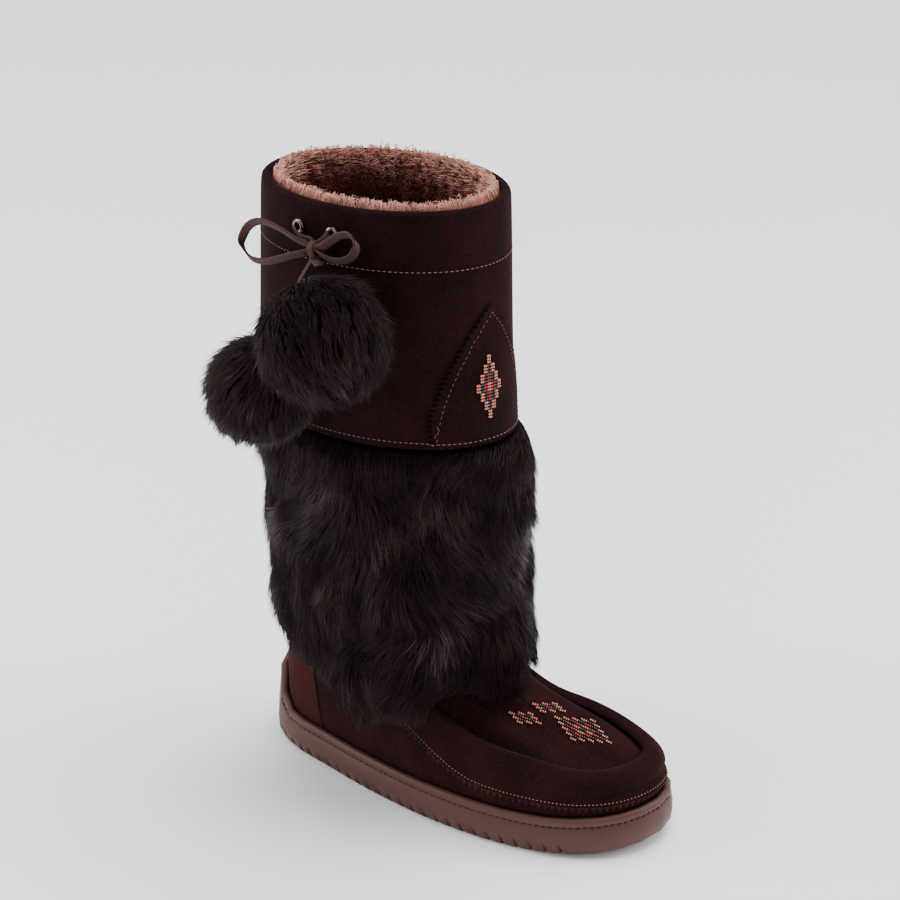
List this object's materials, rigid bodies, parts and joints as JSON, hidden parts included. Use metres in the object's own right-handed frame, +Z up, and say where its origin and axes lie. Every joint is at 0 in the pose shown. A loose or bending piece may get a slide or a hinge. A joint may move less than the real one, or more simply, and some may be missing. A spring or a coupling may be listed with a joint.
{
  "type": "mukluk boot",
  "caption": "Tall moccasin boot with a fur-covered shaft, a turned suede cuff, a bow with hanging fur pompoms and a moulded rubber cup sole.",
  "frame": {"origin": "on the floor, under the middle of the heel", "axes": "+X to the toe, +Y to the inner side of the foot, +Z up"},
  "size_m": [0.2882, 0.2132, 0.382],
  "materials": {
    "sole_rubber": "moulded, satin, reddish brown",
    "insole_pile": "sheared pile, dusty pink brown",
    "upper_suede": "suede, dark chocolate",
    "wrap_suede": "suede, dark chocolate",
    "cuff_suede": "suede, dark chocolate",
    "patch_suede": "suede, dark chocolate",
    "boot_fur": "long soft fur, near black brown",
    "pompom_fur": "long soft fur, near black brown",
    "eyelet_metal": "dark plated",
    "lace_braid": "flat woven lace"
  },
  "bodies": {
    "root": {"outsole": "sole_rubber", "insole": "insole_pile", "upper": "upper_suede", "moccasin_wrap": "wrap_suede", "cuff": "cuff_suede", "fur_sleeve": "boot_fur", "cuff_patch": "patch_suede", "eyelet_rear": "eyelet_metal", "eyelet_front": "eyelet_metal", "bow_knot": "lace_braid", "lace_run_rear": "lace_braid", "lace_run_front": "lace_braid", "bow_loop_rear": "lace_braid", "bow_loop_front": "lace_braid", "lace_tail_rear": "lace_braid", "lace_tail_front": "lace_braid", "pompom_front": "pompom_fur", "pompom_rear": "pompom_fur"}
  },
  "joints": []
}
